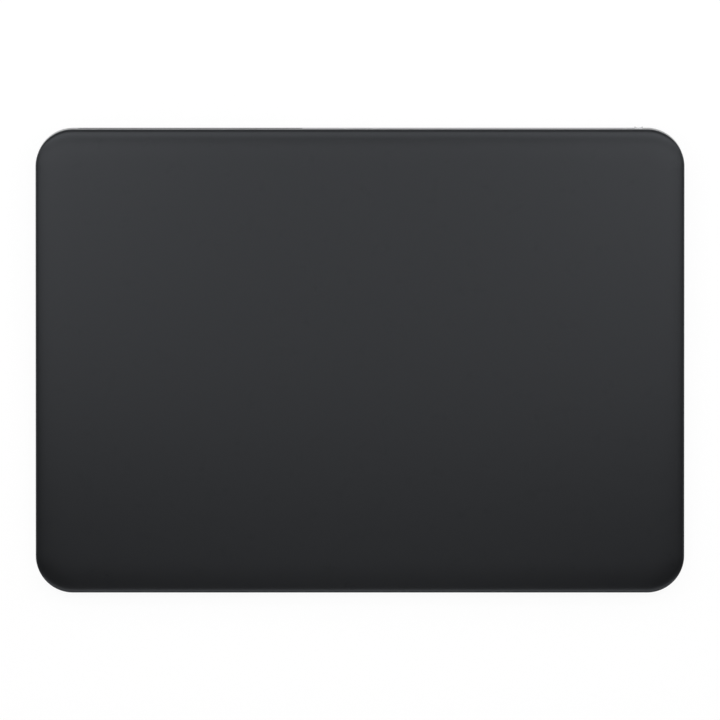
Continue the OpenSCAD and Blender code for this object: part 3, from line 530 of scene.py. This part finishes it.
BATTERY_FOIL = Finish("battery_foil", (0.12, 0.124, 0.13), 0.36, metallic=0.7, pitch=3.0 * MM, tone=0.2,
                      play=0.14, relief=0.04 * MM)
CONNECTOR_PLASTIC = Finish("connector_plastic", (0.62, 0.57, 0.46), 0.5, pitch=0.15 * MM)
BLACK_PLASTIC = Finish("black_plastic", (0.018, 0.018, 0.02), 0.45, pitch=0.12 * MM)

SLOT_FINISHES = {
    "aluminium": BLASTED_ALUMINIUM,
    "cover_glass": SATIN_GLASS,
    "window_plastic": WINDOW_PLASTIC,
    "base_plastic": BASE_PLASTIC,
    "foot_rubber": FOOT_RUBBER,
    "knob_plastic": KNOB_METAL,
    "indicator_green": INDICATOR_FILM,
    "adhesive": CLEAR_ADHESIVE,
    "circuit_board": CIRCUIT_BOARD,
    "chip_plastic": CHIP_PLASTIC,
    "sheet_steel": SHEET_STEEL,
    "spring_steel": SPRING_STEEL,
    "screw_steel": SCREW_STEEL,
    "core_iron": CORE_IRON,
    "copper": COPPER_WINDING,
    "gel": SOFT_GEL,
    "flex_circuit": FLEX_ACROSS,
    "battery_foil": BATTERY_FOIL,
    "connector_plastic": CONNECTOR_PLASTIC,
    "black_plastic": BLACK_PLASTIC,
}

NODE_FINISHES = {
    # The socket's shell wears the steel that is darkened with painted shade of its recess.
    "socket_shell": RECESS_SHADED_STEEL,
    "antenna_foil": COPPER_FOIL,
    "socket_contacts": GOLD_CONTACT,
    "haptic_lead": FLEX_ALONG,
    "touch_lead": FLEX_ALONG,
    "switch_lead": FLEX_ALONG,
}


def finish_of(node: str, slot: str) -> Finish:
    """The finish of a node, its own or its slot's."""
    return NODE_FINISHES.get(node, SLOT_FINISHES[slot])


def alone() -> None:
    """Leaves object mode with nothing selected, so that the next operator acts on its own piece."""
    if bpy.context.object and bpy.context.object.mode != "OBJECT":
        bpy.ops.object.mode_set(mode="OBJECT")
    bpy.ops.object.select_all(action="DESELECT")


def take(piece: bpy.types.Object) -> None:
    """Makes a piece the only selected and active one.

    Args:
        piece: the piece to select.
    """
    alone()
    piece.select_set(True)
    bpy.context.view_layer.objects.active = piece


def settle(piece: bpy.types.Object) -> None:
    """Moves a piece's place, turn and size into its mesh."""
    take(piece)
    bpy.ops.object.transform_apply(location=True, rotation=True, scale=True)


def pick_edges(piece: bpy.types.Object, test: EdgeTest) -> None:
    """Opens a piece in edit mode with only some of its edges selected.

    Args:
        piece: the piece to open.
        test: says which edges are selected.
    """
    take(piece)
    bpy.ops.object.mode_set(mode="EDIT")
    bpy.ops.mesh.select_mode(type="EDGE")
    bpy.ops.mesh.select_all(action="DESELECT")
    mesh = bmesh.from_edit_mesh(piece.data)
    for edge in mesh.edges:
        edge.select_set(test(edge))
    bmesh.update_edit_mesh(piece.data)


def round_edges(piece: bpy.types.Object, test: EdgeTest, radius: float, steps: int) -> None:
    """Rounds some of a piece's edges.

    Args:
        piece: the piece to shape.
        test: says which edges are rounded.
        radius: the radius of the rounding.
        steps: the number of facets in it.
    """
    pick_edges(piece, test)
    bpy.ops.mesh.bevel(offset=radius, offset_type="OFFSET", segments=steps, profile=0.5,
                       affect="EDGES", clamp_overlap=False)
    bpy.ops.object.mode_set(mode="OBJECT")


def ring_in(piece: bpy.types.Object, up: float, width: float, rise: float = 0.0) -> None:
    """Insets a piece's flat end, so that its smooth edge doesn't shade the flat.

    Args:
        piece: the piece to shape.
        up: 1 for its upper end and -1 for its lower one.
        width: the width of the new ring.
        rise: how far the flat inside the ring is raised.
    """
    take(piece)
    bpy.ops.object.mode_set(mode="EDIT")
    bpy.ops.mesh.select_mode(type="FACE")
    bpy.ops.mesh.select_all(action="DESELECT")
    mesh = bmesh.from_edit_mesh(piece.data)
    flat = max(mesh.faces, key=lambda face: face.calc_center_median().z * up)
    flat.select_set(True)
    bmesh.update_edit_mesh(piece.data)
    bpy.ops.mesh.inset(thickness=width, depth=rise)
    bpy.ops.object.mode_set(mode="OBJECT")


def smooth(piece: bpy.types.Object, limit: float = 40.0) -> None:
    """Shades a piece smooth, apart from edges sharper than limit degrees."""
    take(piece)
    bpy.ops.object.shade_smooth_by_angle(angle=math.radians(limit))


def wear(piece: bpy.types.Object, finish: Finish) -> None:
    """Gives a piece one finish all over."""
    piece.data.materials.clear()
    piece.data.materials.append(finish.material())


def stand_for(piece: bpy.types.Object, node: str) -> None:
    """Hides the node of the frame that a finished piece stands for, and logs the piece.

    Args:
        piece: the finished piece.
        node: the node that it replaces.
    """
    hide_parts(node)
    LOG.info("%s stands for %s with %d faces", piece.name, node, len(piece.data.polygons))


def copied(node: str, name: str) -> bpy.types.Object:
    """Copies a node's shape, with its loose triangles merged into whole faces.

    Args:
        node: the node to copy.
        name: the new piece's name.

    Returns:
        The new piece.
    """
    piece = bpy.data.objects.new(name, frame["nodes"][node].data.copy())
    bpy.context.scene.collection.objects.link(piece)
    take(piece)
    bpy.ops.object.mode_set(mode="EDIT")
    bpy.ops.mesh.select_all(action="SELECT")
    bpy.ops.mesh.remove_doubles(threshold=MERGE_REACH)
    bpy.ops.mesh.customdata_custom_splitnormals_clear()
    bpy.ops.mesh.dissolve_limited(angle_limit=FLAT_LIMIT)
    bpy.ops.object.mode_set(mode="OBJECT")
    return piece


def softened(node: str, name: str, width: float, steps: int = 2) -> bpy.types.Object:
    """Copies a node's shape with its sharp edges broken.

    Args:
        node: the node to copy.
        name: the new piece's name.
        width: the width of the broken edges.
        steps: the number of facets in them.

    Returns:
        The new piece.
    """
    piece = copied(node, name)
    bpy.ops.object.modifier_add(type="BEVEL")
    bevel = piece.modifiers[-1]
    bevel.width = width
    bevel.segments = steps
    bevel.limit_method = "ANGLE"
    bevel.angle_limit = SHARP_LIMIT
    bpy.ops.object.modifier_apply(modifier=bevel.name)
    smooth(piece)
    bpy.ops.object.modifier_add(type="WEIGHTED_NORMAL")
    flats = piece.modifiers[-1]
    flats.keep_sharp = True
    bpy.ops.object.modifier_apply(modifier=flats.name)
    return piece


@dataclass(frozen=True)
class Wedge:
    """The pad's main sizes, and the slope of the glass that follows from them."""

    width: float = 160.0 * MM
    depth: float = 114.8 * MM
    front_height: float = 4.9 * MM
    back_height: float = 10.9 * MM
    foot_height: float = 0.6 * MM
    corner_radius: float = 9.2 * MM

    @property
    def slope(self) -> float:
        """Works out the glass's slope, for a back wall that is square to the glass.

        Returns:
            The rise of the glass over its run.
        """
        lean = self.back_height - self.foot_height
        rise = self.back_height - self.front_height
        return (self.depth - math.sqrt(self.depth ** 2 - 4 * lean * rise)) / (2 * lean)

    @property
    def tilt(self) -> float:
        """Angle of the glass to the desk."""
        return math.atan(self.slope)

    @property
    def glass_run(self) -> float:
        """Depth of the glass seen from above."""
        return self.depth - (self.back_height - self.foot_height) * self.slope

    @property
    def glass_depth(self) -> float:
        """Depth of the glass along its slope."""
        return self.glass_run / math.cos(self.tilt)

    @property
    def middle(self) -> Vector:
        """Middle of the glass's upper face."""
        height = (self.front_height + self.back_height) / 2
        return Vector((0.0, (self.glass_run - self.depth) / 2, height))

    @property
    def outward(self) -> Vector:
        """Direction square out of the glass."""
        return Vector((0.0, -math.sin(self.tilt), math.cos(self.tilt)))


@dataclass
class CoverGlass:
    """The satin glass that is the pad's whole upper face."""

    wedge: Wedge
    thickness: float = 1.1 * MM
    low_radius: float = 0.15 * MM
    low_steps: int = 3
    low_share: float = 0.99
    corner_steps: int = 36
    roll_width: float = 8.8 * MM
    roll_height: float = 0.89 * MM
    roll_power: float = 3.0
    roll_steps: int = 32
    ring: float = 0.3 * MM

    def build(self) -> bpy.types.Object:
        """Shapes the glass flat and lays it on its slope.

        Returns:
            The finished piece.
        """
        alone()
        bpy.ops.mesh.primitive_cube_add(size=1.0)
        plate = bpy.context.object
        plate.name = "glass_sheet"
        half = (self.thickness - self.roll_height) / 2
        plate.scale = (self.wedge.width, self.wedge.glass_depth, 2 * half)
        settle(plate)
        low = -half * self.low_share
        round_edges(plate, lambda e: abs(e.verts[0].co.z - e.verts[1].co.z) > half,
                    self.wedge.corner_radius, self.corner_steps)
        round_edges(plate, lambda e: max(v.co.z for v in e.verts) < low,
                    self.low_radius, self.low_steps)
        ring_in(plate, -1, self.ring)
        self.roll_edge(plate)
        plate.rotation_euler = (self.wedge.tilt, 0.0, 0.0)
        plate.location = self.wedge.middle - self.wedge.outward * (self.thickness - half)
        settle(plate)
        smooth(plate)
        return plate

    def roll_edge(self, plate: bpy.types.Object) -> None:
        """Rolls the edge over from the side of the glass to its flat, ring by ring, gentler inwards.

        Args:
            plate: the plate, whose upper end is still flat.
        """
        shares = [(step / self.roll_steps) ** 2 for step in range(self.roll_steps + 1)]
        heights = [math.sqrt(1.0 - (1.0 - share) ** self.roll_power) for share in shares]
        for step in range(self.roll_steps):
            width = self.roll_width * (shares[step + 1] - shares[step])
            rise = self.roll_height * (heights[step + 1] - heights[step])
            ring_in(plate, 1, width, rise)

    def dress(self) -> None:
        """Builds the glass and puts it in its node's place."""
        plate = self.build()
        wear(plate, SATIN_GLASS)
        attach(plate, Body.TOUCH_PLATE.value)
        stand_for(plate, "cover_glass")


@dataclass
class Underside:
    """The base plate and the rubber feet under it."""

    wedge: Wedge
    foot_diameter: float = 9.0 * MM
    foot_depth: float = 0.85 * MM
    foot_edge: float = 0.3 * MM
    foot_edge_steps: int = 6
    foot_low_share: float = 0.01
    foot_inset: float = 15.0 * MM
    foot_facets: int = 72
    plate_edge: float = 0.12 * MM

    def build_foot(self) -> bpy.types.Object:
        """Shapes one foot at the middle, with its lower edge rounded.

        Returns:
            The foot.
        """
        alone()
        bpy.ops.mesh.primitive_cylinder_add(vertices=self.foot_facets, radius=self.foot_diameter / 2,
                                            depth=self.foot_depth, location=(0, 0, self.foot_depth / 2))
        foot = bpy.context.object
        settle(foot)
        low = self.foot_depth * self.foot_low_share
        round_edges(foot, lambda e: max(v.co.z for v in e.verts) < low,
                    self.foot_edge, self.foot_edge_steps)
        ring_in(foot, -1, self.foot_edge)
        return foot

    def build_feet(self) -> bpy.types.Object:
        """Copies the foot to the four corners and joins the copies into one piece.

        Returns:
            The feet.
        """
        first = self.build_foot()
        across = self.wedge.width / 2 - self.foot_inset
        along = self.wedge.depth / 2 - self.foot_inset
        feet = []
        for x, y in ((across, along), (-across, along), (-across, -along), (across, -along)):
            take(first)
            bpy.ops.object.duplicate(linked=False)
            foot = bpy.context.object
            foot.location = (x, y, 0.0)
            settle(foot)
            feet.append(foot)
        take(first)
        bpy.ops.object.delete()
        take(feet[0])
        for foot in feet:
            foot.select_set(True)
        bpy.ops.object.join()
        feet[0].name = "rubber_feet"
        smooth(feet[0])
        return feet[0]

    def dress(self) -> None:
        """Builds both pieces and puts them in their nodes' places."""
        feet = self.build_feet()
        wear(feet, FOOT_RUBBER)
        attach(feet, Body.CASE.value)
        stand_for(feet, "feet")
        plate = softened("base_plate", "base_sheet", self.plate_edge)
        wear(plate, BASE_PLASTIC)
        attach(plate, Body.CASE.value)
        stand_for(plate, "base_plate")


@dataclass
class BackWall:
    """The housing and what shows in its back wall: antenna window, charging socket and power switch."""

    rim_edge: float = 0.06 * MM
    window_edge: float = 0.04 * MM
    shell_edge: float = 0.08 * MM
    knob_edge: float = 0.03 * MM

    def dress(self) -> None:
        """Copies each node with broken edges and puts the copy in its place."""
        for node, name, edge, body, slot in (
                ("housing", "housing_shell", self.rim_edge, Body.CASE, "aluminium"),
                ("antenna_window", "window_insert", self.window_edge, Body.CASE, "window_plastic"),
                ("socket_shell", "socket_sleeve", self.shell_edge, Body.CASE, "sheet_steel"),
                ("socket_tongue", "socket_blade", self.shell_edge, Body.CASE, "black_plastic"),
                ("switch_knob", "switch_slide", self.knob_edge, Body.SWITCH_SLIDER, "knob_plastic")):
            piece = softened(node, name, edge)
            wear(piece, finish_of(node, slot))
            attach(piece, body.value)
            stand_for(piece, node)


@dataclass
class TouchLead:
    """The flexible lead from the logic board to the touch plate, which gives when the glass is pressed."""

    end_share: float = 0.08

    def dress(self) -> None:
        """Copies the lead, gives it its finish and puts it in its node's place, on no body of its own."""
        ribbon = copied("touch_lead", "touch_ribbon")
        smooth(ribbon)
        wear(ribbon, finish_of("touch_lead", "flex_circuit"))
        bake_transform(ribbon)
        stand_for(ribbon, "touch_lead")


@dataclass
class Insides:
    """Every node of the frame, of which those that no piece replaces keep their shape."""

    def dress(self) -> None:
        """Gives each node the finish of its slot, or its own."""
        for part in frame["record"]["subparts"]:
            node = part["node"]
            finish = finish_of(node, part["material_slot"])
            wear(frame["nodes"][node], finish)
            LOG.info("%s wears %s", node, finish.name)


class Panel(Enum):
    """Outlines of a lamp's panel, each with its share of the area of the rectangle around it."""

    RECTANGLE = 1.0
    ELLIPSE = math.pi / 4


@dataclass
class Lamp:
    """A soft panel that shines on the pad, as bright as radiance where it is seen."""

    name: str
    place: Span
    width: float
    height: float
    radiance: float
    panel: Panel = Panel.RECTANGLE
    aim: Span | None = None

    def light(self) -> None:
        """Hangs the lamp, which faces its aim or else straight down."""
        alone()
        bpy.ops.object.light_add(type="AREA", location=self.place)
        lamp = bpy.context.object
        lamp.name = self.name
        way = Vector(self.aim) - Vector(self.place) if self.aim else Vector((0.0, 0.0, -1.0))
        lamp.rotation_euler = way.to_track_quat("-Z", "Y").to_euler()
        lamp.data.shape = self.panel.name
        lamp.data.size = self.width
        lamp.data.size_y = self.height
        lamp.data.energy = self.radiance * math.pi * self.width * self.height * self.panel.value
        lamp.visible_camera = False


@dataclass
class Studio:
    """White table, soft lamps, and the camera that looks straight down."""

    picture: float = 177.8 * MM
    picture_y: float = 0.033 * MM
    lens: float = 1200.0
    sensor: float = 36.0
    table: float = 4.0
    table_drop: float = 0.02 * MM
    under_reach: float = 2.0 * MM
    glow: float = 0.9
    fill: float = 0.28
    ceiling: float = 0.04
    white_rise: float = 0.1
    ceiling_rise: float = 0.6

    def lay_table(self) -> None:
        """Lays the white table, which keeps the pad's soft shadow and can be seen through from below."""
        alone()
        bpy.ops.mesh.primitive_plane_add(size=self.table, location=(0, 0, -self.table_drop))
        table = bpy.context.object
        table.name = "table"
        made = bpy.data.materials.new("white_table")
        made.use_nodes = True
        sheet = Sheet(made.node_tree)
        seen = self.seen(sheet)
        matte = sheet.add("BsdfDiffuse", {"Color": WHITE})
        white = sheet.add("Emission", {"Color": WHITE, "Strength": 1.0})
        top = sheet.add("MixShader", {
            0: sheet.math("MULTIPLY", seen, self.glow), 1: matte.outputs[0], 2: white.outputs[0]})
        clear = sheet.add("BsdfTransparent")
        below = sheet.add("NewGeometry").outputs["Backfacing"]
        gone = sheet.math("MAXIMUM", below, self.under(sheet))
        both = sheet.add("MixShader", {0: gone, 1: top.outputs[0], 2: clear.outputs[0]})
        sheet.add("OutputMaterial", {"Surface": both.outputs[0]})
        table.data.materials.append(made)

    def seen(self, sheet: Sheet) -> bpy.types.NodeSocket:
        """Finds the rays that see the background, straight, in a mirror or through glass.

        Args:
            sheet: the sheet of the table or the surroundings.

        Returns:
            The socket that is 1 for these rays.
        """
        path = sheet.add("LightPath")
        mirrored = sheet.math("MAXIMUM", path.outputs["Is Glossy Ray"], path.outputs["Is Transmission Ray"])
        return sheet.math("MAXIMUM", path.outputs["Is Camera Ray"], mirrored)

    def under(self, sheet: Sheet) -> bpy.types.NodeSocket:
        """Finds short bounced rays, such as those under the pad, so that light reaches it from below.

        Args:
            sheet: the table's sheet.

        Returns:
            The socket that is 1 for these rays.
        """
        path = sheet.add("LightPath")
        near = sheet.math("LESS_THAN", path.outputs["Ray Length"], self.under_reach)
        return sheet.math("MULTIPLY", near, sheet.math("SUBTRACT", 1.0, path.outputs["Is Camera Ray"]))

    def hang_backdrop(self) -> None:
        """Makes the surroundings: white to the eye, white low down in mirrors, and a soft fill light."""
        world = bpy.data.worlds.new("white_room")
        bpy.context.scene.world = world
        world.use_nodes = True
        sheet = Sheet(world.node_tree)
        way = sheet.add("TexCoord").outputs["Generated"]
        rise = sheet.add("SeparateXYZ", {0: way}).outputs["Z"]
        ceiling = sheet.add("MapRange", {
            "Value": rise, "From Min": self.white_rise, "From Max": self.ceiling_rise,
            "To Min": 1.0, "To Max": self.ceiling}, interpolation_type="SMOOTHSTEP").outputs[0]
        path = sheet.add("LightPath")
        shown = sheet.math("MAXIMUM", ceiling, path.outputs["Is Camera Ray"])
        room = sheet.add("Background", {"Color": WHITE, "Strength": shown})
        soft = sheet.add("Background", {"Color": WHITE, "Strength": self.fill})
        both = sheet.add("MixShader", {0: self.seen(sheet), 1: soft.outputs[0], 2: room.outputs[0]})
        sheet.add("OutputWorld", {"Surface": both.outputs[0]})

    def lamps(self) -> list[Lamp]:
        """Lists the soft panels over the pad, none level with another that it overlaps, and the low strips.

        Returns:
            The lamps.
        """
        back = (0.0, 0.055, 0.01)
        front = (0.0, -0.055, 0.005)
        lamps = [
            Lamp("main_panel", (0.0, -0.007, 0.3), 0.58, 0.1, 1.04, Panel.ELLIPSE),
            Lamp("bright_strip", (0.0, 0.052, 0.27), 0.46, 0.02, 2.15),
            Lamp("back_panel", (0.0, 0.16, 0.3), 0.72, 0.113, 1.84, Panel.ELLIPSE),
            Lamp("front_panel", (0.0, -0.14, 0.29), 0.14, 0.12, 0.26),
            Lamp("weak_strip", (0.0, -0.065, 0.28), 0.4, 0.03, 0.26),
            Lamp("back_strip", (0.0, 0.45, 0.26), 1.0, 0.16, 1.5, aim=back),
            Lamp("front_strip", (0.0, -0.39, 0.33), 1.0, 0.16, 1.58, aim=front),
        ]
        for side, name in ((-1, "left"), (1, "right")):
            edge = (side * 0.08, 0.04, 0.0)
            lamps.append(Lamp(name + "_wing", (side * 0.18, 0.094, 0.285), 0.24, 0.147, 0.67))
            lamps.append(Lamp(name + "_side", (side * 0.105, -0.01, 0.31), 0.1, 0.05, 0.28))
            lamps.append(Lamp(name + "_strip", (side * 0.45, 0.1, 0.2), 0.4, 0.2, 1.7, aim=edge))
        return lamps

    def set_camera(self) -> None:
        """Places the camera straight over the pad, far off, with the photograph's frame."""
        alone()
        reach = self.picture * self.lens / self.sensor
        bpy.ops.object.camera_add(location=(0.0, self.picture_y, reach), rotation=(0.0, 0.0, 0.0))
        camera = bpy.context.object
        camera.data.lens = self.lens
        camera.data.sensor_width = self.sensor
        camera.data.clip_end = 2.0 * reach
        bpy.context.scene.camera = camera

    def build(self) -> None:
        """Sets up the whole studio."""
        bpy.context.scene.view_settings.view_transform = "Standard"
        self.set_camera()
        self.lay_table()
        self.hang_backdrop()
        for lamp in self.lamps():
            lamp.light()


def main() -> None:
    """Builds the studio and the pad's pieces in order."""
    logging.basicConfig(level=logging.INFO, format="%(name)s: %(message)s")
    wedge = Wedge()
    Studio().build()
    Insides().dress()
    CoverGlass(wedge).dress()
    BackWall().dress()
    TouchLead().dress()
    Underside(wedge).dress()


if __name__ == "__main__":
    main()
